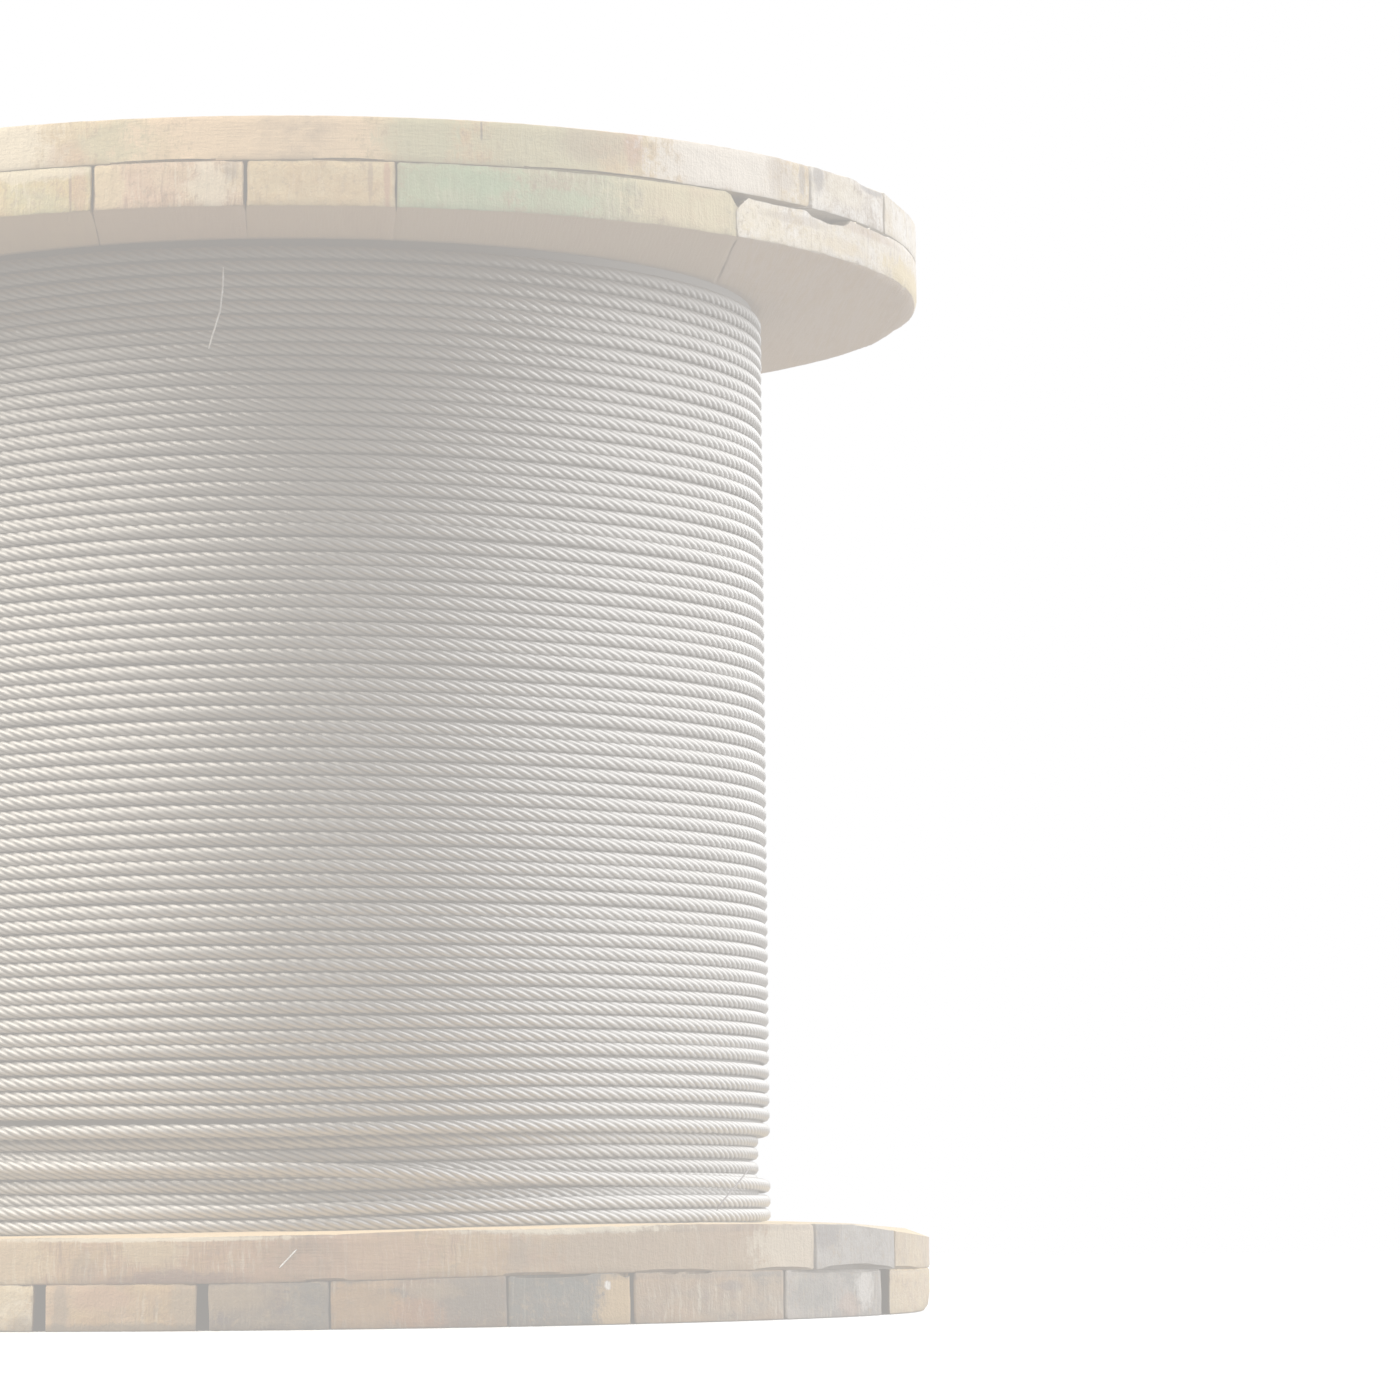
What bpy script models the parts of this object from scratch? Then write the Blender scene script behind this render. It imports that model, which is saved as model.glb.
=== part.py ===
"""A timber reel wound with wire rope, standing upright on its lower flange.

Each flange is two layers of planks laid across each other, the barrel is a ring of staves, and four
tie bolts hold the flanges together through the hollow barrel. The rope is one turned solid whose
ridges are its outer turns, with the place near the bottom where the outer layer has run out.
Units are metres. The origin is under the middle of the reel, on the floor, and +Z runs up its axis.
"""
import math

import bmesh
import bpy

for old_object in list(bpy.data.objects):
    bpy.data.objects.remove(old_object, do_unlink=True)

# Clearance that two pieces keep where they touch
CONTACT = 0.0003

# Flanges: plank thickness, and the widths of the joints between planks
FLANGE_DIAMETER = 0.914
PLANK_THICKNESS = 0.0305
TIGHT_JOINT = 0.0012
LOOSE_JOINT = 0.0028
OPEN_JOINT = 0.0068
ARBOR_DIAMETER = 0.082
RIM_STEP = math.radians(5.0)

# Joints of each layer, from left to right or front to back. A joint is placed by what it runs along:
# the rim before or after the reel's axis, the tie bolts there, or the axis itself
RIM_BEFORE = "rim_before"
BOLTS_BEFORE = "bolts_before"
AXIS = "axis"
BOLTS_AFTER = "bolts_after"
RIM_AFTER = "rim_after"
LOWER_OUTER_JOINTS = (
    (RIM_BEFORE, 0.139, TIGHT_JOINT),
    (BOLTS_BEFORE, -0.055, OPEN_JOINT),
    (BOLTS_BEFORE, 0.0512, OPEN_JOINT),
    (AXIS, 0.0165, TIGHT_JOINT),
    (BOLTS_AFTER, 0.0153, TIGHT_JOINT),
    (BOLTS_AFTER, 0.099, LOOSE_JOINT),
    (RIM_AFTER, -0.1332, TIGHT_JOINT),
    (RIM_AFTER, -0.053, OPEN_JOINT),
)
LOWER_INNER_JOINTS = (
    (RIM_BEFORE, 0.160, TIGHT_JOINT),
    (BOLTS_BEFORE, -0.0776, TIGHT_JOINT),
    (BOLTS_BEFORE, 0.0197, TIGHT_JOINT),
    (AXIS, 0.030, TIGHT_JOINT),
    (BOLTS_AFTER, 0.033, TIGHT_JOINT),
    (RIM_AFTER, -0.167, TIGHT_JOINT),
)
UPPER_INNER_JOINTS = (
    (RIM_BEFORE, 0.097, TIGHT_JOINT),
    (RIM_BEFORE, 0.207, TIGHT_JOINT),
    (BOLTS_BEFORE, -0.020, LOOSE_JOINT),
    (AXIS, -0.036, LOOSE_JOINT),
    (AXIS, 0.063, LOOSE_JOINT),
    (RIM_AFTER, -0.1595, TIGHT_JOINT),
)
UPPER_OUTER_JOINTS = (
    (RIM_BEFORE, 0.168, TIGHT_JOINT),
    (BOLTS_BEFORE, -0.072, TIGHT_JOINT),
    (BOLTS_BEFORE, 0.055, TIGHT_JOINT),
    (BOLTS_AFTER, -0.053, TIGHT_JOINT),
    (BOLTS_AFTER, 0.073, TIGHT_JOINT),
    (RIM_AFTER, -0.147, TIGHT_JOINT),
)

# Barrel between the flanges
TRAVERSE = 0.675
BARREL_DIAMETER = 0.457
STAVE_THICKNESS = 0.032
STAVE_COUNT = 12
STAVE_FACETS = 3
STAVE_GAP = 0.0010

# Rope: its diameter and layers, and the turns that the outer layer lacks above its bottom ones
ROPE_DIAMETER = 0.0099
ROPE_LAYERS = 13
TURNS_BELOW_BREAK = 3
TURNS_IN_BREAK = 3
GROOVE_DEPTH = 0.0035

# Tie bolts, in recesses through the outer planks
BOLT_COUNT = 4
BOLT_DIAMETER = 0.016
BOLT_HOLE_DIAMETER = 0.018
BOLT_TO_STAVE = 0.0310
BOLT_PROTRUSION = 0.005
NUT_ACROSS_FLATS = 0.024
NUT_HEIGHT = 0.013
HEAD_HEIGHT = 0.010
WASHER_SIDE = 0.050
WASHER_THICKNESS = 0.005
RECESS_CLEARANCE = 0.002
ROUND_SIDES = 24
CUT_OVERRUN = 0.005

# Heights that follow from the sizes above
LOWER_INNER_BASE = PLANK_THICKNESS + CONTACT
TRAVERSE_BASE = LOWER_INNER_BASE + PLANK_THICKNESS
TRAVERSE_TOP = TRAVERSE_BASE + TRAVERSE
UPPER_OUTER_BASE = TRAVERSE_TOP + PLANK_THICKNESS + CONTACT
REEL_HEIGHT = UPPER_OUTER_BASE + PLANK_THICKNESS

# Plan sizes that follow from the sizes above
FLANGE_RADIUS = FLANGE_DIAMETER / 2
BARREL_RADIUS = BARREL_DIAMETER / 2
BARREL_BORE_RADIUS = BARREL_RADIUS - STAVE_THICKNESS
BOLT_CIRCLE_RADIUS = BARREL_BORE_RADIUS - BOLT_TO_STAVE
BOLT_ROW = BOLT_CIRCLE_RADIUS * math.cos(math.pi / BOLT_COUNT)
RECESS_RADIUS = WASHER_SIDE / math.sqrt(2) + RECESS_CLEARANCE
FACETS_AROUND = STAVE_COUNT * STAVE_FACETS
JOINT_ANCHORS = {
    RIM_BEFORE: -FLANGE_RADIUS,
    BOLTS_BEFORE: -BOLT_ROW,
    AXIS: 0.0,
    BOLTS_AFTER: BOLT_ROW,
    RIM_AFTER: FLANGE_RADIUS,
}


def add_object(name, mesh, colour, roughness, metallic):
    """An object of the given mesh, with a material of its own."""
    material = bpy.data.materials.new(name)
    material.use_nodes = True
    shader = material.node_tree.nodes["Principled BSDF"]
    shader.inputs["Base Color"].default_value = (*colour, 1.0)
    shader.inputs["Roughness"].default_value = roughness
    shader.inputs["Metallic"].default_value = metallic
    mesh.materials.append(material)
    piece = bpy.data.objects.new(name, mesh)
    bpy.context.collection.objects.link(piece)
    return piece


def prism_mesh(name, outline, base, top):
    """A closed prism over a flat outline of (x, y) points, from height base to height top."""
    model = bmesh.new()
    corners = [model.verts.new((x, y, base)) for x, y in outline]
    floor_face = model.faces.new(corners)
    raised = bmesh.ops.extrude_face_region(model, geom=[floor_face])["geom"]
    raised_corners = [item for item in raised if isinstance(item, bmesh.types.BMVert)]
    bmesh.ops.translate(model, verts=raised_corners, vec=(0.0, 0.0, top - base))
    bmesh.ops.recalc_face_normals(model, faces=model.faces)
    mesh = bpy.data.meshes.new(name)
    model.to_mesh(mesh)
    model.free()
    mesh.shade_smooth()
    mesh.set_sharp_from_angle(angle=math.radians(35.0))
    return mesh


def polygon(sides, radius, centre=(0.0, 0.0), turn=0.0):
    """The corners of a regular polygon, the first one at the angle turn."""
    angles = [turn + 2 * math.pi * index / sides for index in range(sides)]
    return [(centre[0] + radius * math.cos(a), centre[1] + radius * math.sin(a)) for a in angles]


def add_cutter(name, outline, base, top):
    """A hidden prism that a Boolean takes away from, or adds to, the pieces that it meets."""
    cutter = bpy.data.objects.new(name, prism_mesh(name, outline, base, top))
    bpy.context.collection.objects.link(cutter)
    cutter.hide_render = True
    cutter.display_type = "WIRE"
    return cutter


def combine(piece, other, operation="DIFFERENCE"):
    """Cut the other object away from the piece, or join it to the piece."""
    modifier = piece.modifiers.new(other.name, "BOOLEAN")
    modifier.operation = operation
    modifier.object = other


def plank_outline(near, far, along_x):
    """The part of the flange's disc between two parallel lines, with its ends on the round rim."""
    def rim_arc(start, end):
        steps = max(1, math.ceil(abs(end - start) / RIM_STEP))
        return [start + (end - start) * index / steps for index in range(steps + 1)]

    near_angle = math.acos(max(-1.0, near / FLANGE_RADIUS))
    far_angle = math.acos(min(1.0, far / FLANGE_RADIUS))
    angles = rim_arc(far_angle, near_angle) + rim_arc(-near_angle, -far_angle)
    corners = []
    for angle in angles:
        point = (FLANGE_RADIUS * math.cos(angle), FLANGE_RADIUS * math.sin(angle))
        if not corners or math.dist(point, corners[-1]) > 1e-6:
            corners.append(point)
    if math.dist(corners[0], corners[-1]) < 1e-6:
        corners.pop()
    return [(-y, x) for x, y in corners] if along_x else corners


def add_planks(layer, joints, along_x, base, holes):
    """One layer of planks, with the holes that reach each plank cut through it."""
    placed = [(JOINT_ANCHORS[anchor] + offset, width) for anchor, offset, width in joints]
    starts = [-FLANGE_RADIUS] + [place + width / 2 for place, width in placed]
    ends = [place - width / 2 for place, width in placed] + [FLANGE_RADIUS]
    for number, (near, far) in enumerate(zip(starts, ends), 1):
        name = f"{layer}_plank_{number}"
        mesh = prism_mesh(name, plank_outline(near, far, along_x), base, base + PLANK_THICKNESS)
        plank = add_object(name, mesh, PLANK_COLOURS[number % len(PLANK_COLOURS)], 0.85, 0.0)
        for cutter, (x, y), radius in holes:
            place = y if along_x else x
            if near - radius < place < far + radius:
                combine(plank, cutter)


PLANK_COLOURS = (
    (0.72, 0.62, 0.48),
    (0.62, 0.54, 0.43),
    (0.78, 0.69, 0.55),
    (0.55, 0.53, 0.48),
)

# Round holes: the arbor hole, and for each bolt a clearance hole and a recess in both flanges
bolt_places = polygon(BOLT_COUNT, BOLT_CIRCLE_RADIUS, turn=math.pi / BOLT_COUNT)
arbor_outline = polygon(ROUND_SIDES, ARBOR_DIAMETER / 2)
arbor_cutter = add_cutter("arbor_cutter", arbor_outline, -CUT_OVERRUN, REEL_HEIGHT + CUT_OVERRUN)
arbor_hole = (arbor_cutter, (0.0, 0.0), ARBOR_DIAMETER / 2)
clearance_holes = []
recesses = []
for number, place in enumerate(bolt_places, 1):
    hole_outline = polygon(ROUND_SIDES, BOLT_HOLE_DIAMETER / 2, place)
    hole_cutter = add_cutter(f"bolt_hole_cutter_{number}", hole_outline, 0.0, REEL_HEIGHT)
    clearance_holes.append((hole_cutter, place, BOLT_HOLE_DIAMETER / 2))
    recess_outline = polygon(ROUND_SIDES, RECESS_RADIUS, place)
    recess_cutter = add_cutter(
        f"recess_cutter_{number}", recess_outline, -CUT_OVERRUN, REEL_HEIGHT + CUT_OVERRUN
    )
    recesses.append((recess_cutter, place, RECESS_RADIUS))

# Flanges: the outer and inner layers cross each other
add_planks("lower_outer", LOWER_OUTER_JOINTS, False, 0.0, [arbor_hole] + recesses)
add_planks("lower_inner", LOWER_INNER_JOINTS, True, LOWER_INNER_BASE, [arbor_hole] + clearance_holes)
add_planks("upper_inner", UPPER_INNER_JOINTS, False, TRAVERSE_TOP, [arbor_hole] + clearance_holes)
add_planks("upper_outer", UPPER_OUTER_JOINTS, True, UPPER_OUTER_BASE, [arbor_hole] + recesses)


def stave_outline(start_angle):
    """A stave's section: round outside in a few facets, flat inside, half a gap off each neighbour."""
    span = 2 * math.pi / STAVE_COUNT
    facet = span / STAVE_FACETS
    half_gap = STAVE_GAP / 2
    share = half_gap / (BARREL_RADIUS * math.sin(facet))
    end_radius = BARREL_RADIUS * (1 - share * (1 - math.cos(facet)))
    end_turn = math.atan2(half_gap, end_radius)
    bore_turn = math.atan2(half_gap, BARREL_BORE_RADIUS)
    outside = [(end_radius, end_turn)]
    outside += [(BARREL_RADIUS, facet * index) for index in range(1, STAVE_FACETS)]
    outside += [(end_radius, span - end_turn)]
    inside = [(BARREL_BORE_RADIUS, span - bore_turn), (BARREL_BORE_RADIUS, bore_turn)]
    return [
        (radius * math.cos(start_angle + turn), radius * math.sin(start_angle + turn))
        for radius, turn in outside + inside
    ]


# Barrel: staves that stand between the flanges
for number in range(1, STAVE_COUNT + 1):
    stave_name = f"barrel_stave_{number}"
    section = stave_outline(2 * math.pi * (number - 1) / STAVE_COUNT)
    stave_mesh = prism_mesh(stave_name, section, TRAVERSE_BASE + CONTACT, TRAVERSE_TOP - CONTACT)
    add_object(stave_name, stave_mesh, (0.66, 0.55, 0.41), 0.85, 0.0)

# Rope winding: even turns side by side, each layer lying in the grooves of the one below
winding_base = TRAVERSE_BASE + CONTACT
winding_height = TRAVERSE - 2 * CONTACT
turn_count = int(winding_height / ROPE_DIAMETER)
turn_pitch = winding_height / turn_count
layer_rise = math.sqrt(ROPE_DIAMETER ** 2 - (turn_pitch / 2) ** 2)
winding_bore = BARREL_RADIUS + CONTACT
outer_radius = winding_bore + ROPE_DIAMETER + (ROPE_LAYERS - 1) * layer_rise
under_radius = outer_radius - layer_rise


def turn_is_missing(turn):
    """Whether the outer layer lacks this turn, counted from 0 at the bottom."""
    return TURNS_BELOW_BREAK <= turn < TURNS_BELOW_BREAK + TURNS_IN_BREAK


def winding_radius(half_pitch):
    """The winding's radius at a height of so many half pitches: odd ones are outer turns' middles."""
    turn = half_pitch // 2
    if half_pitch % 2:
        return under_radius - GROOVE_DEPTH if turn_is_missing(turn) else outer_radius
    missing_beside = turn_is_missing(turn - 1) + turn_is_missing(turn)
    return (outer_radius - GROOVE_DEPTH, outer_radius - ROPE_DIAMETER / 2, under_radius)[missing_beside]


profile = [
    (winding_radius(half_pitch), 0.0, winding_base + half_pitch * turn_pitch / 2)
    for half_pitch in range(2 * turn_count, -1, -1)
]
profile += [(winding_bore, 0.0, winding_base), (winding_bore, 0.0, winding_base + winding_height)]
profile_edges = [(index, (index + 1) % len(profile)) for index in range(len(profile))]
winding_mesh = bpy.data.meshes.new("rope_winding")
winding_mesh.from_pydata(profile, profile_edges, [])
rope_winding = add_object("rope_winding", winding_mesh, (0.62, 0.61, 0.58), 0.35, 0.9)
turning = rope_winding.modifiers.new("turned", "SCREW")
turning.axis = "Z"
turning.angle = 2 * math.pi
turning.steps = FACETS_AROUND
turning.render_steps = FACETS_AROUND
turning.use_merge_vertices = True
turning.merge_threshold = 0.00001
turning.use_smooth_shade = True

# Tie bolts: a hexagon head over the upper washer, a nut under the lower one
lower_washer_top = LOWER_INNER_BASE - CONTACT
nut_top = lower_washer_top - WASHER_THICKNESS - CONTACT
shank_end = nut_top - NUT_HEIGHT - BOLT_PROTRUSION
upper_washer_base = UPPER_OUTER_BASE
head_base = upper_washer_base + WASHER_THICKNESS + CONTACT
HEXAGON_RADIUS = NUT_ACROSS_FLATS / math.sqrt(3)
STEEL = ((0.45, 0.44, 0.43), 0.5, 0.9)
for number, place in enumerate(bolt_places, 1):
    bore_outline = polygon(ROUND_SIDES, BOLT_DIAMETER / 2 + CONTACT, place)
    bore_cutter = add_cutter(f"bolt_bore_cutter_{number}", bore_outline, -CUT_OVERRUN, REEL_HEIGHT)
    shank_outline = polygon(ROUND_SIDES, BOLT_DIAMETER / 2, place)
    shank = add_cutter(f"bolt_shank_guide_{number}", shank_outline, shank_end, head_base + HEAD_HEIGHT / 2)
    head_mesh = prism_mesh(
        f"tie_bolt_{number}", polygon(6, HEXAGON_RADIUS, place), head_base, head_base + HEAD_HEIGHT
    )
    combine(add_object(f"tie_bolt_{number}", head_mesh, *STEEL), shank, "UNION")
    nut_mesh = prism_mesh(
        f"bolt_nut_{number}", polygon(6, HEXAGON_RADIUS, place), nut_top - NUT_HEIGHT, nut_top
    )
    combine(add_object(f"bolt_nut_{number}", nut_mesh, *STEEL), bore_cutter)
    washer_outline = polygon(4, WASHER_SIDE / math.sqrt(2), place, math.pi / 4)
    for level, washer_base in (
        ("lower", lower_washer_top - WASHER_THICKNESS),
        ("upper", upper_washer_base),
    ):
        washer_name = f"{level}_washer_{number}"
        washer_mesh = prism_mesh(washer_name, washer_outline, washer_base, washer_base + WASHER_THICKNESS)
        combine(add_object(washer_name, washer_mesh, *STEEL), bore_cutter)
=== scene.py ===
import math

import bpy
import numpy as np
from mathutils import Matrix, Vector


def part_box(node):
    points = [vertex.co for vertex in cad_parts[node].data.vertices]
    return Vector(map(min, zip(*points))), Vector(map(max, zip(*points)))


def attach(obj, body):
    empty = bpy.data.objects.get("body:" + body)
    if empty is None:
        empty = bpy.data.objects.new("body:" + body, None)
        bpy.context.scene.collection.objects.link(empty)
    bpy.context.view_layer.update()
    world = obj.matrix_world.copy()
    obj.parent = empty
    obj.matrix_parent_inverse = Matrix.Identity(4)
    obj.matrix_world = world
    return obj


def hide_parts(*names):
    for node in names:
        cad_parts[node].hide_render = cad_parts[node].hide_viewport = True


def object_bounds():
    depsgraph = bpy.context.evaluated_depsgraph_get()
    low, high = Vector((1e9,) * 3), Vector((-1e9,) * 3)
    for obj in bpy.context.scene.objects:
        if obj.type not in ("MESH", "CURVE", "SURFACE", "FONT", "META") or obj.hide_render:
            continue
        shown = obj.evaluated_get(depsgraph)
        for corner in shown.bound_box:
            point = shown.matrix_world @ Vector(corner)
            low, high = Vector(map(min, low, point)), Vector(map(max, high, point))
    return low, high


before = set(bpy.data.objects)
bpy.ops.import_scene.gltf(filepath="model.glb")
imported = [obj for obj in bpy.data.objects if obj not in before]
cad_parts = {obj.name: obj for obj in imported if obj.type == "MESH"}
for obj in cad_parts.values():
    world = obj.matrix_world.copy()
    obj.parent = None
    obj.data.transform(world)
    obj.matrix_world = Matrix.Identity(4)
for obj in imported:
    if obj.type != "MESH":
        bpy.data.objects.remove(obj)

cad_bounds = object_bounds()
frame_nodes = [node.name for node in bpy.data.objects if node.type == "MESH"]

# Lower flange. Two layers of sawn softwood planks, laid across each other, nailed together and sawn
# round. Its rim shows worn end grain, saw marks, open joints, grey weathering and stains, with painted
# shade over it that deepens towards the right-hand end, and to the right of the middle its boards have
# sprung up a little.
FLANGE_RADIUS = cad_bounds[1][0]
OUTERMOST = FLANGE_RADIUS - 0.001
RIM_SPACING = 0.004
RIM_CORNER_STEPS = (0.0004, 0.0010, 0.0018, 0.0028)
JOINT_POINTS = 22
CORNER_ROUNDING = 0.0011
ARRIS_WEAR = 0.0012
ARRIS_WEAR_SPREAD = 0.0009
ARRIS_LIMITS = (0.0003, 0.0028)
ARRIS_HOLLOW = 0.30
JOINT_ARRIS = 0.4
FLAT_BORDER = 0.006
SIDE_ROWS = 7
RIM_ROUGHNESS = 0.00025
RIM_SHRINKAGE = 0.0005
SHORT_CHIP = 0.013
TALLEST_CHIP = 0.42
CHIP_RAGGEDNESS = 0.35
GAP_RAGGEDNESS = 0.08
GAP_HOLLOW = 0.85
WORN_END = 0.45
JOINT_ROUGHNESS = 0.0003
JOINT_CLOSING = 0.0013
CLOSING_SPREAD = 0.03
HOLE_SIDES = 48
DRILL_OVERRUN = 0.01
SHARP_ANGLE = 40.0
NAIL_SINK = 0.0005
BOW_START = -0.04
BOW_LENGTH = 0.49
BOW_HEIGHT = 0.0045
BOW_LEAN = 1.25
BOW_LEVELS = (0.001, 0.0306, 0.061)
BOW_SHARES = (0, 0.77, 1)
BOW_FADE = 0.30
PRINT_LIFT = (0.658, 0.648, 0.635)
RIM_LIGHT = 0.80


def print_tone(red, green, blue):
    """The linear colour that comes out as this tone, 0 to 255, in a print as pale as the photograph.

    The print's lift is taken off the tone, the rest is stretched to the full range, the screen curve
    (sRGB) is undone, and the share of full light that reaches the rims is divided out.
    """
    shown = [(value / 255 - lift) / (1 - lift) for value, lift in zip((red, green, blue), PRINT_LIFT)]
    return tuple(((max(value, 0.0) + 0.055) / 1.055) ** 2.4 / RIM_LIGHT for value in shown)


CREAM = print_tone(231, 220, 198)
IVORY = print_tone(237, 230, 216)
CHALK = print_tone(242, 239, 234)
STRAW = print_tone(232, 220, 188)
TAN = print_tone(224, 208, 184)
OCHRE = print_tone(214, 196, 174)
SHELL = print_tone(231, 214, 198)
BLUSH = print_tone(218, 198, 182)
TAUPE = print_tone(208, 197, 182)
GREY = print_tone(188, 182, 174)
SLATE = print_tone(180, 180, 176)
SAGE = print_tone(213, 213, 194)
GREEN = print_tone(200, 213, 193)
ORANGE = print_tone(226, 194, 164)
UMBER = print_tone(194, 178, 168)
PLUM = print_tone(180, 171, 170)
DIRT_AND_SHADE = print_tone(174, 168, 162)
WHITE = print_tone(250, 249, 246)
SHADE_GREY = (0.39, 0.375, 0.375)
SHADED_BOARD = (0.44, 0.275, 0.165)
PAINTED_SHADE_END = (0.27, 0.42)
FLAT_FACING = (0.70, 0.95)


class Flow:
    """A value among a material's nodes. Arithmetic on it adds the Math nodes that work it out."""

    def __init__(self, finish, socket):
        self.finish = finish
        self.socket = socket

    def math(self, operation, *others):
        values = dict(enumerate((self, *others)))
        return self.finish.node("Math", {"operation": operation}, values)

    def __add__(self, other):
        return self.math("ADD", other)

    def __sub__(self, other):
        return self.math("SUBTRACT", other)

    def __rsub__(self, other):
        return self.finish.node("Math", {"operation": "SUBTRACT"}, {0: other, 1: self})

    def __mul__(self, other):
        return self.math("MULTIPLY", other)

    def __truediv__(self, other):
        return self.math("DIVIDE", other)

    def __pow__(self, other):
        return self.math("POWER", other)

    __radd__ = __add__
    __rmul__ = __mul__

    def rising(self, low, high):
        """0 below low, 1 above high, and a smooth step between them."""
        settings = {"interpolation_type": "SMOOTHSTEP"}
        return self.finish.node("MapRange", settings, {0: self, 1: low, 2: high, 3: 0.0, 4: 1.0})


class Nodes:
    """The nodes of a material or of the backdrop, and a method that adds any other node to them."""

    def __init__(self, owner):
        owner.use_nodes = True
        self.tree = owner.node_tree

    def feed(self, socket, value):
        if isinstance(value, Flow):
            self.tree.links.new(value.socket, socket)
        elif isinstance(value, tuple) and len(value) == 3 and socket.type == "RGBA":
            socket.default_value = (*value, 1.0)
        else:
            socket.default_value = value

    def node(self, kind, settings=None, sockets=None, output=0):
        node = self.tree.nodes.new("ShaderNode" + kind)
        for name, value in (settings or {}).items():
            setattr(node, name, value)
        for name, value in (sockets or {}).items():
            self.feed(node.inputs[name], value)
        return Flow(self, node.outputs[output])

    def split(self, vector):
        """The three numbers of a vector."""
        return [self.node("SeparateXYZ", None, {0: vector}, output=axis) for axis in range(3)]


class Finish(Nodes):
    """One material: a Principled shader, and what its sockets wear."""

    def __init__(self, name, roughness=0.5, metallic=0.0):
        self.material = bpy.data.materials.new(name)
        super().__init__(self.material)
        self.shader = self.tree.nodes["Principled BSDF"]
        self.wear("Roughness", roughness)
        self.wear("Metallic", metallic)

    def paint(self, share, below, above):
        """The colour below, covered by the colour above where share is 1."""
        return self.node("Mix", {"data_type": "RGBA"}, {0: share, 6: below, 7: above}, output=2)

    def object_place(self):
        """The three Object coordinates, in metres."""
        return self.split(self.node("TexCoord", output=3))

    def noise(self, x, y, z, detail=2.0, roughness=0.5):
        """Noise between 0 and 1 at the point x, y, z, with features about one unit across."""
        place = self.node("CombineXYZ", None, {0: x, 1: y, 2: z})
        sockets = {"Vector": place, "Scale": 1.0, "Detail": detail, "Roughness": roughness}
        return self.node("TexNoise", None, sockets)

    def relief(self, height, depth, strength=1.0):
        sockets = {"Strength": strength, "Distance": depth, "Height": height}
        self.wear("Normal", self.node("Bump", None, sockets))

    def wear(self, socket, value):
        self.feed(self.shader.inputs[socket], value)


def wobble(seed, wave, *places):
    """Smooth unevenness between -1 and 1: the mean of six sines that cross the places at seeded slopes."""
    draw = np.random.default_rng(seed)
    total = 0.0
    for _ in range(6):
        slopes = draw.normal(0.0, 1.0 / wave, len(places))
        total = total + np.sin(2 * np.pi * (sum(s * p for s, p in zip(slopes, places)) + draw.random()))
    return total / 3


def full_turn(count):
    """Angles evenly round a circle."""
    return np.linspace(0, 2 * np.pi, count, endpoint=False)


def round_axis(radius, bearing, height):
    """Points at a radius, bearing and height about the reel's axis, all three spread to one grid."""
    places = np.broadcast_arrays(radius * np.cos(bearing), radius * np.sin(bearing), height)
    return np.stack(places, axis=-1)


def grid_quads(rows, columns, close_rows=False, close_columns=False):
    """The quads of a grid of points, row after row, which may close on itself either way."""
    row = np.arange(rows if close_rows else rows - 1)[:, None]
    column = np.arange(columns if close_columns else columns - 1)[None, :]
    next_row = (row + 1) % rows
    next_column = (column + 1) % columns
    corners = (
        row * columns + column,
        row * columns + next_column,
        next_row * columns + next_column,
        next_row * columns + column,
    )
    return np.stack(corners, axis=-1).reshape(-1, 4)


def place_in_scene(name, data):
    """An object in the scene that shows a mesh, a lamp or a camera."""
    placed = bpy.data.objects.new(name, data)
    bpy.context.collection.objects.link(placed)
    return placed


def new_object(name, points, faces):
    """An object in the scene, with a mesh of the given faces."""
    mesh = bpy.data.meshes.new(name)
    mesh.from_pydata(points.reshape(-1, 3), [], [[int(corner) for corner in face] for face in faces])
    return place_in_scene(name, mesh)


def add_piece(name, points, faces, finish, smooth_angle=SHARP_ANGLE):
    """A mesh of the given faces, which rides on the reel. Edges past the angle stay sharp."""
    piece = new_object(name, points, faces)
    piece.data.materials.append(finish.material)
    piece.data.shade_smooth()
    piece.data.set_sharp_from_angle(angle=math.radians(smooth_angle))
    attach(piece, "root")
    return piece


def board_bow(x):
    """How high the lower flange's boards have sprung up: a half wave of a sine, steeper to its right."""
    return BOW_HEIGHT * np.sin(np.pi * np.clip((x - BOW_START) / BOW_LENGTH, 0, 1) ** BOW_LEAN)


def plank_run(near, far):
    """Which edge each point of a plank's outline is on, and its share of the way along that edge.

    Counter-clockwise: arc, near joint, arc, far joint. Points crowd to the ends of each edge, and an
    outermost plank has only one joint.
    """
    far_turn = math.acos(min(1.0, far / FLANGE_RADIUS))
    near_turn = math.acos(max(-1.0, near / FLANGE_RADIUS))
    length = (near_turn - far_turn) * FLANGE_RADIUS
    steps = np.arange(RIM_SPACING, length - RIM_SPACING * 0.8, RIM_SPACING)
    ends = np.array(RIM_CORNER_STEPS)
    arc = np.sort(np.concatenate([[0.0], ends, steps, length - ends])) / length
    joint = (1 - np.cos(np.linspace(0, np.pi, JOINT_POINTS)[:-1])) / 2
    shares = [arc, joint if near > -OUTERMOST else joint[:1], arc, joint if far < OUTERMOST else joint[:1]]
    edge = np.concatenate([np.full(len(share), number) for number, share in enumerate(shares)])
    return edge, np.concatenate(shares)


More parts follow.
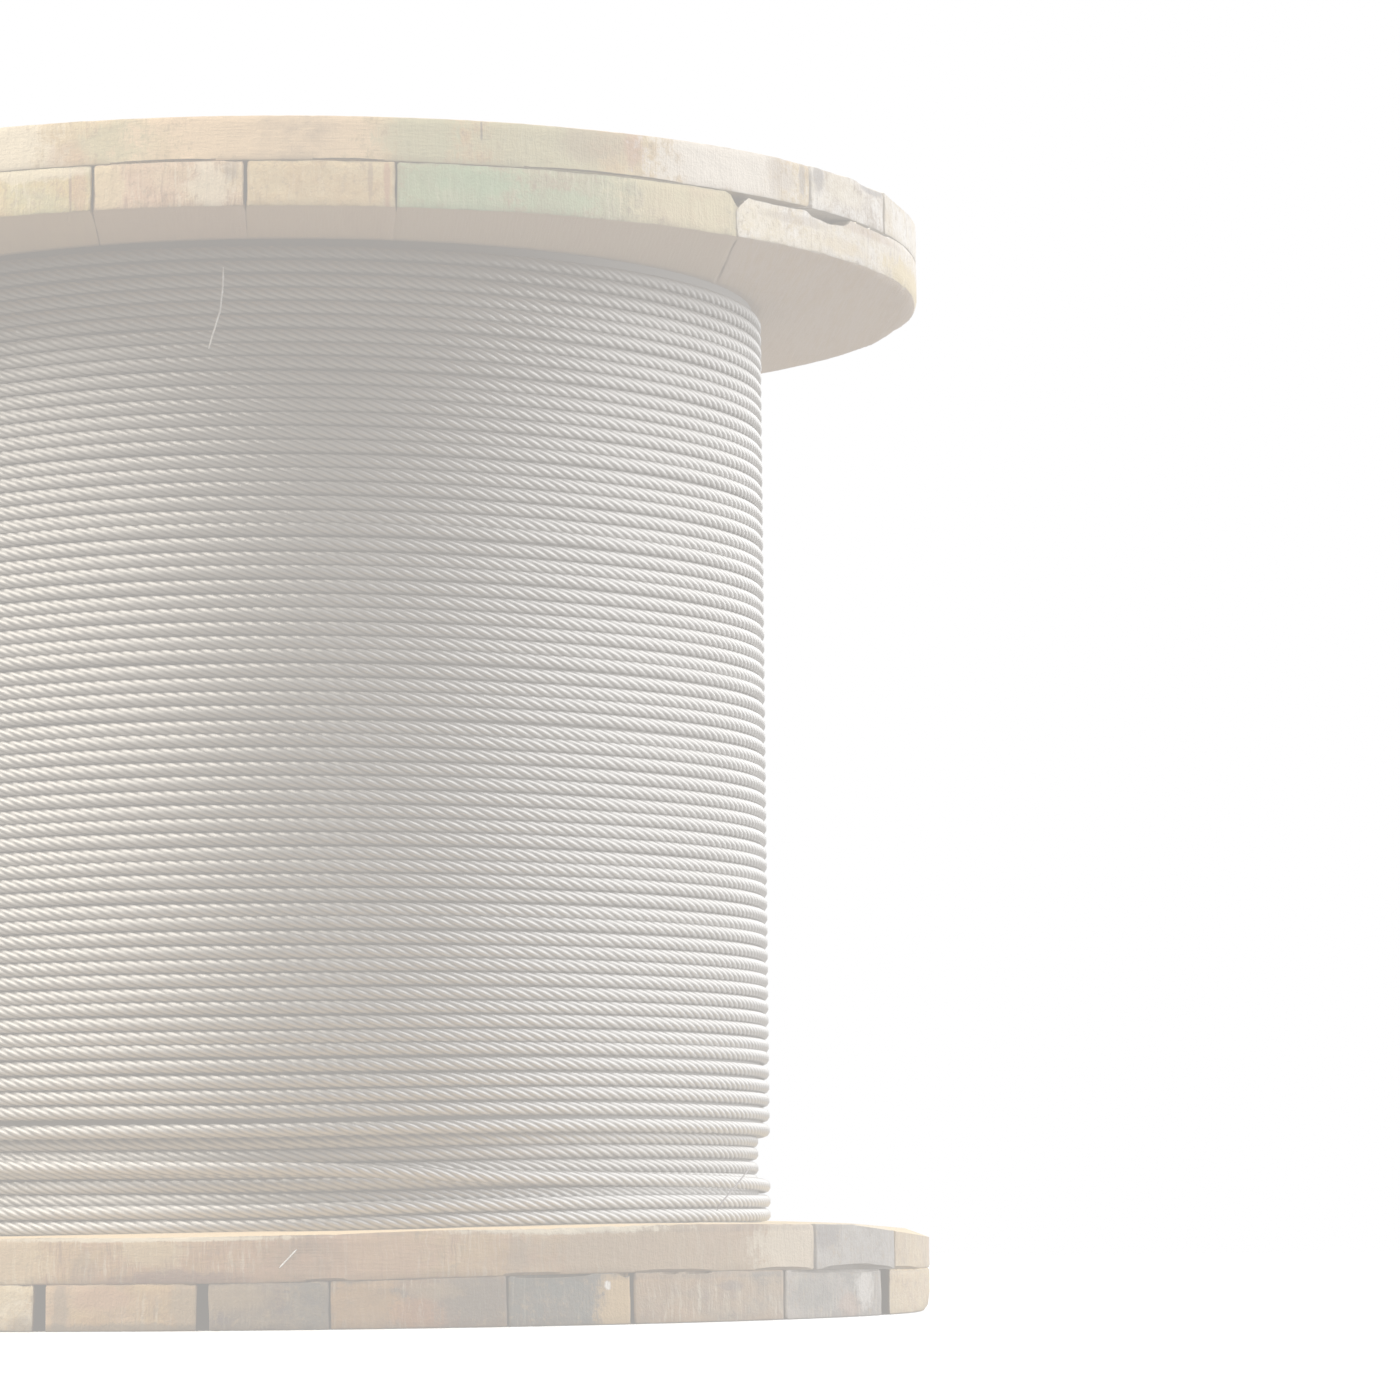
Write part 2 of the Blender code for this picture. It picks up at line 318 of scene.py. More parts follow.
def plank_ring(edge, share, near, far, rim, rounding):
    """A plank's outline, across and along it, between the lines near and far and inside the radius rim.

    On an arc, the angle goes evenly from one line to the other, and the radius drops like a quarter
    circle where a line is closer than the rounding. On a joint, the place along goes evenly from arc
    to arc.
    """
    far_turn = np.arccos(np.clip(far / rim, -1, 1))
    near_turn = np.arccos(np.clip(near / rim, -1, 1))
    turn = far_turn + (near_turn - far_turn) * np.where(edge == 2, 1 - share, share)
    across = rim * np.cos(turn)
    closeness = np.clip(1 - np.minimum(across - near, far - across) / rounding, 0, 1)
    outermost = (near < 0.004 - FLANGE_RADIUS) & (across < 0) | (far > FLANGE_RADIUS - 0.004) & (across > 0)
    drop = rounding * (1 - np.sqrt(1 - closeness ** 2)) * ~outermost
    on_arc = np.stack([(rim - drop) * np.cos(turn), (rim - drop) * np.sin(turn)], axis=-1)
    on_arc[..., 1] *= np.where(edge == 2, -1, 1)
    line = np.where(edge == 1, near, far)
    half = np.sqrt(np.maximum((rim - rounding) ** 2 - line ** 2, 0))
    along = half * (1 - 2 * share) * np.where(edge == 1, 1, -1)
    on_joint = np.stack([np.clip(line, -rim, rim), along], axis=-1)
    return np.where((edge % 2 == 0)[..., None], on_arc, on_joint)


def plank_rings(near, far, base, top, along_x, seed, chips, gaping, closing):
    """A plank's points: its outline carried up a profile of flat border, worn arris, sawn side and back.

    The outline steps in by the arris wear at both faces, and everywhere by a little roughness. Chips
    are (face, x, half length, height, reach) along the front of the rim. A short one comes to a point,
    and one past WORN_END wears the right-hand end down, front and back. Gaping is how far the near and
    far joints have drawn in at the bottom and at the top, and closing is how far the joints have closed
    up away from the rim.
    """
    edge, share = plank_run(near, far)
    on_rim = edge % 2 == 0
    radius = FLANGE_RADIUS - RIM_SHRINKAGE * (seed % 5) / 5
    plan = plank_ring(edge, share, near + 0 * share, far + 0 * share, radius, CORNER_ROUNDING)
    front_x, front_y = (-plan[:, 1], plan[:, 0]) if along_x else plan.T
    if along_x:
        end_of_joint = np.sign(front_x) * np.sqrt(radius ** 2 - plan[:, 0] ** 2)
        front_x = np.where(on_rim, front_x, end_of_joint)
    profiles = []
    for face, face_seed in (("bottom", seed + 100), ("top", seed + 200)):
        uneven = wobble(face_seed, 0.06, *plan.T) * 0.5 + wobble(face_seed + 50, 0.010, *plan.T) * 0.5
        size = (ARRIS_WEAR + ARRIS_WEAR_SPREAD * uneven).clip(*ARRIS_LIMITS)
        size = np.where(on_rim, size, size * JOINT_ARRIS)
        tall, reach, hollow = size, size, ARRIS_HOLLOW + 0 * size
        for chip_face, x, half_length, chip_height, chip_reach in chips:
            if chip_face == face:
                aside = np.clip(np.abs(front_x - x) / half_length, 0, 1)
                pointed = half_length < SHORT_CHIP or x > WORN_END
                nearness = 1 - aside if pointed else (1 - aside ** 2) ** 0.5
                nearness = nearness * ((front_y < 0) | (x > WORN_END))
                gap_like = chip_reach > chip_height and x < WORN_END
                unevenness = 0 if x > WORN_END else GAP_RAGGEDNESS if gap_like else CHIP_RAGGEDNESS
                ragged = 1 + unevenness * wobble(face_seed + 9, 0.016, front_x)
                taller = chip_height * nearness * ragged > tall
                tall = np.where(taller, chip_height * nearness * ragged, tall)
                reach = np.where(taller, np.maximum(size, chip_reach * nearness), reach)
                hollow = np.where(taller, GAP_HOLLOW if gap_like else ARRIS_HOLLOW, hollow)
        profiles.append((tall.clip(ARRIS_LIMITS[0], (top - base) * TALLEST_CHIP), reach, size, hollow))
    (low, low_reach, low_size, low_hollow), (high, high_reach, high_size, high_hollow) = profiles
    nothing = np.zeros(len(plan))
    rows = [
        (low_reach + FLAT_BORDER, low_size + FLAT_BORDER, base),
        (low_reach, low_size, base),
        (low_reach * low_hollow, low_size * low_hollow, base + low * low_hollow),
        *((nothing, nothing, (base + low) * (1 - side) + (top - high) * side)
          for side in np.linspace(0, 1, SIDE_ROWS)),
        (high_reach * high_hollow, high_size * high_hollow, top - high * high_hollow),
        (high_reach, high_size, top),
        (high_reach + FLAT_BORDER, high_size + FLAT_BORDER, top),
    ]
    from_rim, from_joint, height = (np.stack([nothing + value for value in column]) for column in zip(*rows))
    rise = (height - base) / (top - base)
    rough = (1 + wobble(seed + 300, 0.018, *plan.T, height)) * RIM_ROUGHNESS
    rim = radius - from_rim - rough
    ragged = (1 + wobble(seed + 400, 0.03, plan[:, 1] + 0 * height, height)) * JOINT_ROUGHNESS
    to_rim = np.abs(plan[:, 1]).max() - np.abs(plan[:, 1])
    closed = np.where(on_rim, 0, np.clip(to_rim / CLOSING_SPREAD, 0, 1) * closing)
    near_line = near + from_joint + ragged - closed + gaping[0] * (1 - rise) + gaping[1] * rise
    far_line = far - from_joint - ragged + closed - gaping[2] * (1 - rise) - gaping[3] * rise
    if near < -OUTERMOST:
        near_line = -rim
    if far > OUTERMOST:
        far_line = rim
    ring = plank_ring(edge + 0 * rim.astype(int), share + 0 * rim, near_line, far_line, rim, CORNER_ROUNDING)
    x, y = (-ring[..., 1], ring[..., 0]) if along_x else (ring[..., 0], ring[..., 1])
    return np.stack([x, y, height], axis=-1)


def drill(piece, cutters):
    """Cut round holes, given as (x, y, radius, base, top), and keep the result as the piece's mesh."""
    turn = full_turn(HOLE_SIDES)
    for x, y, radius, base, top in cutters:
        walls = [np.stack([x + radius * np.cos(turn), y + radius * np.sin(turn), level + 0 * turn], axis=1)
                 for level in (base, top)]
        rim = np.arange(HOLE_SIDES)
        faces = [*grid_quads(2, HOLE_SIDES, close_columns=True), rim[::-1], rim + HOLE_SIDES]
        drill_bit = new_object("drill", np.concatenate(walls), faces)
        cut = piece.modifiers.new("hole", "BOOLEAN")
        cut.operation = "DIFFERENCE"
        cut.object = drill_bit
        shape = bpy.data.meshes.new_from_object(piece.evaluated_get(bpy.context.evaluated_depsgraph_get()))
        piece.modifiers.clear()
        piece.data = shape
        bpy.data.objects.remove(drill_bit)
    piece.data.set_sharp_from_angle(angle=math.radians(SHARP_ANGLE))


def plank_box(node):
    """A plank's near and far side, its base and top, and whether it lies along X."""
    low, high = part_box(node)
    along_x = node.startswith(("lower_inner", "upper_outer"))
    near, far = (low[1], high[1]) if along_x else (low[0], high[0])
    return near, far, low[2], high[2], along_x


def add_plank(node, finish, holes, chips, gaping):
    """A worn plank in the place of a CAD plank. Holes are (x, y, radius)."""
    near, far, base, top, along_x = plank_box(node)
    if node.startswith("lower_outer"):
        base += NAIL_SINK
    if node.startswith("upper_outer"):
        top -= NAIL_SINK
    seed = sum(map(ord, node))
    closing = JOINT_CLOSING if node.startswith("upper_inner") else 0
    rings = plank_rings(near, far, base, top, along_x, seed, chips, gaping, closing)
    if node.startswith("lower"):
        share = np.interp(rings[..., 2], BOW_LEVELS, BOW_SHARES)
        rings[..., 2] += board_bow(rings[..., 0]) * share
    levels, count = rings.shape[:2]
    quads = grid_quads(levels, count, close_columns=True)
    faces = [*quads, np.arange(count)[::-1], np.arange(count) + (levels - 1) * count]
    piece = add_piece(node + "_worn", rings, faces, finish)
    middle = rings[levels // 2]
    around = np.concatenate([[0], np.cumsum(np.linalg.norm(np.diff(middle, axis=0), axis=1))])
    corners = np.zeros(len(piece.data.loops), dtype=np.int32)
    piece.data.loops.foreach_get("vertex_index", corners)
    place = rings.reshape(-1, 3)[corners]
    sawn = np.stack([around[corners % count], place[:, 2]], axis=1)
    sides = len(quads) * 4
    sawn[sides:] = place[sides:, :2] if along_x else place[sides:, 1::-1]
    piece.data.uv_layers.new(name="sawn").data.foreach_set("uv", sawn.astype(np.float32).ravel())
    cutters = []
    for x, y, radius in holes:
        place = y if along_x else x
        if near - radius < place < far + radius:
            cutters.append((x, y, radius, base - DRILL_OVERRUN, top + DRILL_OVERRUN))
    if cutters:
        drill(piece, cutters)
    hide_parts(node)


def plank_finish(node, tint, shade, drift, saw_marks, stains):
    """Sawn softwood: growth rings about a pith beside the plank, fibres along it and saw marks across it.

    On flat faces the mottling is drawn out along the grain, and on the upper flange faces that look
    down carry painted shade. The lower inner planks' upward faces are painted paler, as painted light.
    The rims carry painted shade that deepens towards the right-hand end, and the lower flange carries a
    little painted shade all over; the upper outer planks' top faces are greyed. Stains are (x, z, half
    width, half height, colour, strength) on the front of the rim.
    """
    near, far, base, top, along_x = plank_box(node)
    draw = np.random.default_rng(sum(map(ord, node)))
    finish = Finish(node)
    x, y, z = finish.object_place()
    across, along = (y, x) if along_x else (x, y)
    facing_up = finish.split(finish.node("TexCoord", output=1))[2]
    flat = facing_up.math("ABSOLUTE").rising(*FLAT_FACING)
    drawn_x, drawn_y = (x * (1 - flat * 0.85), y) if along_x else (x, y * (1 - flat * 0.85))
    pith_across = near + (far - near) * draw.uniform(0.1, 0.9)
    pith_height = base - draw.uniform(0.02, 0.08)
    shift = draw.uniform(0, 50)
    bend = finish.noise(across * 12 + shift, along * 1.5, z * 12, detail=1)
    from_pith = ((across - pith_across) ** 2 + (z - pith_height) ** 2) ** 0.5 + bend * 0.05
    ring = finish.noise(from_pith * 320, along * 0.5, shift, detail=2)
    fibre = finish.noise(across * 600, along * 18 + shift, z * 600, detail=3)
    sawn_u, sawn_v, _ = finish.split(finish.node("UVMap", {"uv_map": "sawn"}))
    lean = finish.noise(sawn_u * 70 + shift, sawn_v * 90, shift, detail=2) * 1.6
    saw = finish.noise(sawn_u * 420 + lean, sawn_v * 34 + shift, shift, detail=4, roughness=0.75)
    saw_zone = finish.noise(sawn_u * 16 + shift, sawn_v * 20, shift, detail=2)
    patch = finish.noise(drawn_x * 55 + shift, drawn_y * 55, z * 70, detail=6, roughness=0.72)
    cloud = finish.noise(drawn_x * 14 + shift, drawn_y * 14, z * 26 + shift, detail=4, roughness=0.6)
    tone = 0.45 + (patch - 0.5) * 2.6 + (ring - 0.5) * (flat * 1.2 + 0.4)
    tone = tone + (fibre - 0.5) * (flat * 0.6 + 0.7)
    colour = finish.paint(tone.rising(0.0, 1.0), tint, shade)
    colour = finish.paint(cloud.rising(0.40, 0.66) * 0.70, colour, drift)
    saw_share = saw_zone.rising(0.25, 0.60) * saw_marks
    colour = finish.paint((saw - 0.51).rising(0.0, 0.14) * saw_share * 0.65, colour, UMBER)
    colour = finish.paint((0.49 - saw).rising(0.0, 0.14) * saw_share * 0.50, colour, IVORY)
    colour = finish.paint((patch - 0.56).rising(0.0, 0.20) * 0.30, colour, PLUM)
    fine = finish.noise(drawn_x * 160, drawn_y * 160, z * 160 + shift, detail=6, roughness=0.78) - 0.5
    colour = finish.paint((fine - 0.01).rising(0.0, 0.16) * 0.75, colour, TAUPE)
    colour = finish.paint((-0.02 - fine).rising(0.0, 0.20) * 0.60, colour, tint)
    ragged = fine * 1.6 + (patch - 0.5) * 1.6 + (saw - 0.5) * 0.8
    in_front = (0.0 - y).rising(0.0, 0.05) * (1 - flat)
    for centre_x, centre_z, half_width, half_height, stain_colour, strength in stains:
        spread = (((x - centre_x) / half_width) ** 2 + ((z - centre_z) / half_height) ** 2) ** 0.5
        cover = (1.05 - spread - ragged).rising(-0.1, 0.5) * in_front * strength
        colour = finish.paint(cover, colour, stain_colour)
    to_joint = (across - near).math("MINIMUM", far - across)
    to_face = (z - base).math("MINIMUM", top - z)
    grime = (1 - to_joint.rising(0.0, 0.0018)) * 0.50 + (1 - to_face.rising(0.0, 0.0020)) * 0.45
    colour = finish.paint(grime * patch.rising(0.25, 0.65) * (1 - flat), colour, DIRT_AND_SHADE)
    facing_down = (0 - facing_up).rising(*FLAT_FACING)
    # Painted shade under the flange: the upper inner planks' undersides, over the winding, go to a shaded
    # board colour. The upper outer planks' undersides, seen only in chips and gaps, go to the dirt-and-shade
    # colour.
    if node.startswith("upper_inner"):
        colour = finish.paint(facing_down * 0.80, colour, SHADED_BOARD)
    if node.startswith("upper_outer"):
        colour = finish.paint(facing_down * 0.85, colour, DIRT_AND_SHADE)
    # Painted light: the lower inner planks' upward faces are painted paler.
    if node.startswith("lower_inner"):
        colour = finish.paint(facing_up.rising(0.30, 0.80) * 0.55, colour, CREAM)
    # Painted shade: the rims darken towards their right-hand ends, and the whole lower flange is darkened a
    # little. The upper outer planks' top faces are greyed as well.
    shade_and_grey_tops = x.rising(*PAINTED_SHADE_END) * (1 - flat) * 0.75
    if node.startswith("lower"):
        shade_and_grey_tops = shade_and_grey_tops * 0.85 + 0.13
    if node.startswith("upper_outer"):
        shade_and_grey_tops = shade_and_grey_tops + facing_up.rising(*FLAT_FACING) * 0.45
    colour = finish.node("Mix", {"data_type": "RGBA", "blend_type": "MULTIPLY"},
                         {0: shade_and_grey_tops, 6: colour, 7: SHADE_GREY}, output=2)
    finish.wear("Base Color", colour)
    finish.wear("Roughness", 0.70 + fibre * 0.25)
    finish.relief(saw * 0.6 + fibre * 0.4 + patch * 0.9 + fine * 0.4, 0.0010, 0.9)
    return finish


bolt_low, bolt_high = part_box("tie_bolt_1")
BOLT_ROW = abs(bolt_low[0] + bolt_high[0]) / 2
ARBOR_HOLE = (0.0, 0.0, 0.041)
RECESS_RADIUS = 0.03736
BOLT_HOLE_RADIUS = 0.009
bolt_places = [(BOLT_ROW * a, BOLT_ROW * b) for a in (-1, 1) for b in (-1, 1)]
recess_holes = [ARBOR_HOLE] + [(x, y, RECESS_RADIUS) for x, y in bolt_places]
clearance_holes = [ARBOR_HOLE] + [(x, y, BOLT_HOLE_RADIUS) for x, y in bolt_places]


def plank(layer, number, tint, shade, drift, saw_marks=0.8, stains=(), chips=(), gaping=(0, 0, 0, 0)):
    """One plank of a layer, with its finish, its wear and the holes that go through the layer."""
    node = f"{layer}_plank_{number}"
    holes = recess_holes if "outer" in layer else clearance_holes
    add_plank(node, plank_finish(node, tint, shade, drift, saw_marks, stains), holes, chips, gaping)


plank("lower_outer", 1, CREAM, TAN, TAUPE)
plank("lower_outer", 2, IVORY, TAN, CREAM, gaping=(0, 0, 0.0012, 0), stains=[
    (-0.185, 0.004, 0.01, 0.008, GREY, 0.6),
], chips=[("top", -0.18, 0.008, 0.004, 0.004)])
plank("lower_outer", 3, TAN, OCHRE, SHELL, gaping=(0, 0.0004, 0.001, 0), stains=[
    (-0.158, 0.014, 0.006, 0.026, GREY, 0.6), (-0.13, 0.022, 0.02, 0.009, BLUSH, 0.7),
    (-0.076, 0.014, 0.012, 0.03, TAUPE, 0.8), (-0.12, 0.001, 0.07, 0.005, GREY, 0.7),
], chips=[("top", -0.073, 0.01, 0.003, 0.003)])
plank("lower_outer", 4, PLUM, TAUPE, GREY, saw_marks=0.25, gaping=(0.0008, 0, 0, 0), stains=[
    (0.006, 0.015, 0.018, 0.024, SLATE, 0.5), (-0.045, 0.022, 0.024, 0.01, TAUPE, 0.6),
])
plank("lower_outer", 5, OCHRE, GREY, UMBER, stains=[
    (0.04, 0.015, 0.026, 0.022, OCHRE, 0.7), (0.076, 0.01, 0.024, 0.012, ORANGE, 0.3),
    (0.112, 0.018, 0.032, 0.022, GREY, 0.85), (0.085, 0.024, 0.02, 0.006, TAUPE, 0.6),
])
plank("lower_outer", 6, SLATE, GREY, SLATE,
      saw_marks=0.25, gaping=(0.0004, 0, 0, 0.0008), stains=[
    (0.206, 0.015, 0.016, 0.034, TAN, 0.95), (0.199, 0.026, 0.0025, 0.0035, WHITE, 0.8),
], chips=[("top", 0.16, 0.03, 0.002, 0.006), ("top", 0.212, 0.008, 0.003, 0.006)])
plank("lower_outer", 7, TAUPE, GREY, OCHRE, stains=[
    (0.285, 0.024, 0.01, 0.004, PLUM, 0.5),
], chips=[("top", 0.25, 0.035, 0.0016, 0.005)])
plank("lower_outer", 8, print_tone(208, 204, 199), SLATE, print_tone(214, 208, 202),
      gaping=(0, 0.0004, 0, 0.0006), stains=[
    (0.345, 0.018, 0.02, 0.014, SLATE, 0.5), (0.386, 0.02, 0.008, 0.014, CHALK, 0.5),
    (0.374, 0.008, 0.01, 0.01, BLUSH, 0.4),
], chips=[("top", 0.364, 0.042, 0.0022, 0.008)])
plank("lower_outer", 9, CREAM, TAN, STRAW, gaping=(0, 0.0004, 0, 0), chips=[
    ("top", 0.42, 0.02, 0.003, 0.003), ("bottom", 0.454, 0.024, 0.0126, 0.005),
    ("top", 0.456, 0.014, 0.003, 0.002),
])

plank("lower_inner", 1, BLUSH, OCHRE, TAN, saw_marks=1.0, stains=[
    (-0.19, 0.046, 0.025, 0.04, CREAM, 0.45), (-0.143, 0.04, 0.01, 0.014, GREY, 0.35),
    (-0.085, 0.034, 0.05, 0.006, UMBER, 0.85), (-0.1, 0.052, 0.022, 0.012, CREAM, 0.45),
    (0.03, 0.045, 0.06, 0.034, BLUSH, 0.6), (0.138, 0.044, 0.008, 0.016, GREY, 0.45),
    (0.24, 0.046, 0.11, 0.03, TAUPE, 0.75), (0.33, 0.046, 0.03, 0.03, IVORY, 0.5),
    (-0.1, 0.06, 0.11, 0.0022, IVORY, 0.9), (0.17, 0.064, 0.08, 0.004, IVORY, 0.95),
], chips=[
    ("top", 0.17, 0.065, 0.0045, 0.0045), ("top", -0.11, 0.05, 0.0022, 0.0022),
    ("top", 0.02, 0.03, 0.0022, 0.0022), ("bottom", 0.325, 0.024, 0.0022, 0.008),
    ("bottom", 0.245, 0.03, 0.0018, 0.006), ("bottom", 0.012, 0.02, 0.002, 0.006),
    ("bottom", 0.15, 0.025, 0.002, 0.006),
])
plank("lower_inner", 2, print_tone(214, 211, 207), print_tone(202, 198, 193), print_tone(210, 206, 201),
      saw_marks=0.4, stains=[
    (0.356, 0.056, 0.012, 0.01, PLUM, 0.6),
], chips=[("bottom", 0.382, 0.03, 0.004, 0.012), ("top", 0.457, 0.085, 0.009, 0.05)])
plank("lower_inner", 3, CREAM, TAN, TAUPE, chips=[
    ("bottom", 0.42, 0.016, 0.002, 0.006), ("top", 0.457, 0.085, 0.009, 0.06),
])
plank("lower_inner", 4, CREAM, TAN, IVORY, stains=[
    (0.456, 0.046, 0.01, 0.02, BLUSH, 0.4),
], chips=[("top", 0.457, 0.085, 0.009, 0.06)])
plank("lower_inner", 5, TAUPE, TAN, CREAM, chips=[("top", 0.457, 0.085, 0.009, 0.06)])
plank("lower_inner", 6, CREAM, TAUPE, TAN, chips=[("top", 0.457, 0.085, 0.009, 0.05)])
plank("lower_inner", 7, TAN, TAUPE, OCHRE)

# Upper flange. The same two layers the other way round: the inner planks run front to back, and the
# outer ones across them. One inner board is green, and old shakes and chips run along the rim.
plank("upper_inner", 1, CREAM, TAN, TAUPE)
plank("upper_inner", 2, IVORY, CREAM, TAN)
plank("upper_inner", 3, STRAW, TAN, SAGE, gaping=(0.0, 0, 0.0002, -0.0008), stains=[
    (-0.152, 0.752, 0.0012, 0.02, UMBER, 0.8), (-0.146, 0.752, 0.006, 0.022, BLUSH, 0.6),
    (-0.17, 0.764, 0.04, 0.006, IVORY, 0.6),
])
plank("upper_inner", 4, SHELL, BLUSH, CREAM,
      saw_marks=1.0, gaping=(-0.0004, -0.0006, 0.0, 0.0002), stains=[
    (-0.128, 0.752, 0.012, 0.024, CREAM, 0.7), (-0.046, 0.76, 0.006, 0.008, PLUM, 0.6),
    (-0.06, 0.75, 0.016, 0.018, IVORY, 0.6),
], chips=[("top", -0.042, 0.012, 0.0035, 0.0035), ("top", -0.128, 0.01, 0.0022, 0.0022)])
plank("upper_inner", 5, CREAM, TAN, TAN,
      saw_marks=0.35, gaping=(-0.0008, -0.0002, -0.0008, -0.0004), stains=[
    (0.046, 0.754, 0.002, 0.016, UMBER, 0.55), (0.057, 0.752, 0.0026, 0.018, BLUSH, 0.9),
])
plank("upper_inner", 6, SAGE, TAUPE, SAGE,
      gaping=(-0.0008, -0.0004, -0.0009, -0.0009), stains=[
    (0.1, 0.752, 0.05, 0.024, GREEN, 0.5), (0.118, 0.756, 0.026, 0.01, GREEN, 0.4),
    (0.17, 0.746, 0.03, 0.01, GREEN, 0.4), (0.265, 0.752, 0.05, 0.03, CREAM, 0.6),
], chips=[
    ("top", 0.2975, 0.0065, 0.0126, 0.03), ("bottom", 0.16, 0.04, 0.0024, 0.0024),
    ("bottom", 0.245, 0.03, 0.0032, 0.0032), ("bottom", 0.29, 0.01, 0.0026, 0.0026),
])
plank("upper_inner", 7, CHALK, CREAM, IVORY, gaping=(-0.0009, -0.0009, 0, 0), stains=[
    (0.34, 0.756, 0.03, 0.004, TAUPE, 0.5), (0.38, 0.746, 0.02, 0.006, CREAM, 0.6),
    (0.438, 0.744, 0.026, 0.012, STRAW, 0.9), (0.4, 0.762, 0.03, 0.004, OCHRE, 0.5),
], chips=[
    ("top", 0.2975, 0.012, 0.0126, 0.03), ("top", 0.328, 0.03, 0.0036, 0.03),
    ("top", 0.368, 0.018, 0.008, 0.03), ("top", 0.405, 0.02, 0.002, 0.006),
    ("bottom", 0.33, 0.012, 0.003, 0.003), ("bottom", 0.362, 0.012, 0.0038, 0.0036),
    ("bottom", 0.395, 0.014, 0.0034, 0.0034), ("bottom", 0.423, 0.014, 0.006, 0.005),
    ("bottom", 0.44, 0.008, 0.009, 0.006), ("bottom", 0.452, 0.014, 0.006, 0.006),
])

plank("upper_outer", 1, CREAM, TAN, CREAM, saw_marks=0.7, stains=[
    (-0.205, 0.782, 0.05, 0.03, IVORY, 0.8), (-0.152, 0.774, 0.016, 0.012, BLUSH, 0.45),
    (-0.12, 0.782, 0.03, 0.016, SAGE, 0.45), (-0.075, 0.794, 0.03, 0.003, OCHRE, 0.4),
    (-0.02, 0.782, 0.09, 0.04, print_tone(238, 222, 202), 0.85), (0.08, 0.784, 0.03, 0.024, SAGE, 0.7),
    (0.16, 0.784, 0.06, 0.03, SAGE, 0.6), (0.2, 0.788, 0.03, 0.016, TAUPE, 0.6),
    (0.12, 0.791, 0.0012, 0.009, PLUM, 0.8), (0.224, 0.786, 0.008, 0.014, BLUSH, 0.8),
    (0.29, 0.784, 0.06, 0.03, print_tone(237, 232, 225), 0.85), (0.33, 0.786, 0.012, 0.016, TAUPE, 0.5),
    (0.347, 0.786, 0.003, 0.014, PLUM, 0.6),
], chips=[
    ("bottom", 0.2, 0.06, 0.002, 0.006), ("bottom", -0.09, 0.04, 0.0018, 0.005),
    ("bottom", 0.03, 0.03, 0.0018, 0.005), ("top", 0.345, 0.014, 0.003, 0.003),
])
plank("upper_outer", 2, CHALK, TAUPE, IVORY, stains=[
    (0.36, 0.79, 0.005, 0.01, PLUM, 0.7), (0.405, 0.794, 0.012, 0.004, PLUM, 0.8),
    (0.385, 0.784, 0.016, 0.01, IVORY, 0.6),
], chips=[("top", 0.404, 0.014, 0.005, 0.005), ("top", 0.372, 0.014, 0.003, 0.003)])
plank("upper_outer", 3, CHALK, IVORY, CREAM, chips=[("top", 0.437, 0.02, 0.004, 0.005)])
plank("upper_outer", 4, CREAM, TAN, IVORY, chips=[("top", 0.456, 0.02, 0.005, 0.006)])
plank("upper_outer", 5, TAUPE, TAN, GREY)
plank("upper_outer", 6, CREAM, TAN, SAGE)
plank("upper_outer", 7, IVORY, TAUPE, TAN)

# Nails through the outer planks into the inner ones, in rings. Their round steel heads, rusty in
# places, are driven flush with the outer faces, clear of the holes and of the planks' edges.
NAIL_RADIUS = 0.0042
NAIL_PROFILE = ((0.75, 0.00005), (1.0, 0.0003), (1.0, 0.0020))
NAIL_SCATTER = 0.0025
NAIL_TO_EDGE = 0.008
NAIL_TO_HOLE = 0.010
NAIL_RINGS = (0.432, 0.345, 0.255, 0.175)
NAIL_SPACING = 0.085
NAIL_SIDES = 12
nail_finish = Finish("nail_heads", metallic=0.8)
x, y, z = nail_finish.object_place()
rust = nail_finish.noise(x * 90, y * 90, z * 90, detail=4)
rusty = nail_finish.paint(rust.rising(0.35, 0.65), (0.33, 0.32, 0.30), (0.20, 0.12, 0.07))
nail_finish.wear("Base Color", rusty)
nail_finish.wear("Roughness", 0.40 + rust * 0.4)
for layer, face_height, out in (("lower_outer", 0.0, 1), ("upper_outer", cad_bounds[1][2], -1)):
    boards = [plank_box(node) for node in frame_nodes if node.startswith(layer)]
    draw = np.random.default_rng(len(layer) + out)
    points, faces = [], []
    for ring_radius in NAIL_RINGS:
        for turn in np.arange(0, 2 * np.pi, NAIL_SPACING / ring_radius) + draw.uniform(0, 0.2):
            place = ring_radius * np.array([math.cos(turn), math.sin(turn)])
            place = place + draw.normal(0, NAIL_SCATTER, 2)
            across = place[1] if boards[0][4] else place[0]
            if not any(near + NAIL_TO_EDGE < across < far - NAIL_TO_EDGE for near, far, *_ in boards):
                continue
            if any(math.dist(place, (hx, hy)) < radius + NAIL_TO_HOLE for hx, hy, radius in recess_holes):
                continue
            around = full_turn(NAIL_SIDES)
            first = len(points)
            for share, depth in NAIL_PROFILE:
                radius = NAIL_RADIUS * share
                for angle in around:
                    points.append((place[0] + radius * math.cos(angle), place[1] + radius * math.sin(angle),
                                   face_height + out * depth))
            quads = grid_quads(3, NAIL_SIDES, close_columns=True) + first
            cap = np.arange(NAIL_SIDES) + first
            shell = [*quads, cap[::-1], cap + 2 * NAIL_SIDES]
            faces += shell if out > 0 else [np.asarray(face)[::-1] for face in shell]
    add_piece(layer.replace("outer", "nails"), np.array(points), faces, nail_finish)

# Barrel staves: sawn softwood, set on edge in a ring and held between the flanges by the pull of the
# tie bolts. They are out of sight under the rope, and keep the shape that they have in the CAD.


